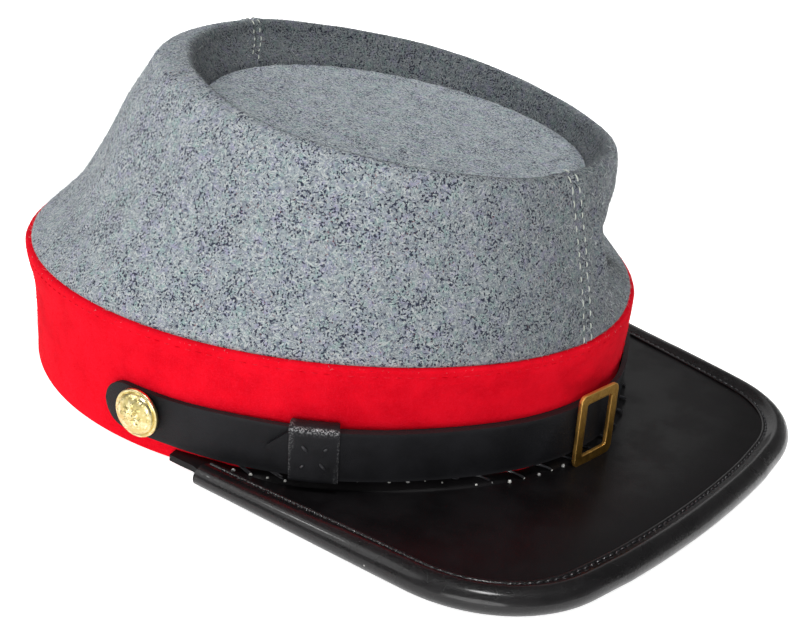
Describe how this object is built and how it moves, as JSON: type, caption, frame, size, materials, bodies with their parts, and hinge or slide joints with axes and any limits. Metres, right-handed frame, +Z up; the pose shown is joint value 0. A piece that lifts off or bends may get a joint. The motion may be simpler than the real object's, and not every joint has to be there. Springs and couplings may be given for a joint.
{
  "type": "kepi cap",
  "caption": "Round cloth cap with a forward-leaning crown, sunken top, wide band, flat leather peak with a rolled edge, and a buckled chin strap.",
  "frame": {"origin": "centre of the head opening, level with the lower edge of the band, which is the plane that the cap rests on", "axes": "+Z up through the crown, -Y to the front over the peak, +X to the wearer's left"},
  "size_m": [0.2016, 0.2403, 0.0971],
  "materials": {
    "grey_wool": "heathered blue-grey wool cloth with a short nap",
    "red_wool": "plain red wool cloth over a stiff core",
    "peak_leather": "smooth black leather with a soft sheen",
    "strap_leather": "semi-matte black leather",
    "brass": "worn brass",
    "gilt_brass": "pale polished brass"
  },
  "bodies": {
    "root": {"band": "red_wool", "crown_side_left": "grey_wool", "crown_side_right": "grey_wool", "crown_top": "grey_wool", "peak": "peak_leather", "peak_binding": "peak_leather", "chin_strap_left": "strap_leather", "chin_strap_right": "strap_leather", "strap_keeper": "strap_leather", "buckle": "brass", "button_left": "gilt_brass", "button_right": "gilt_brass"}
  },
  "joints": []
}
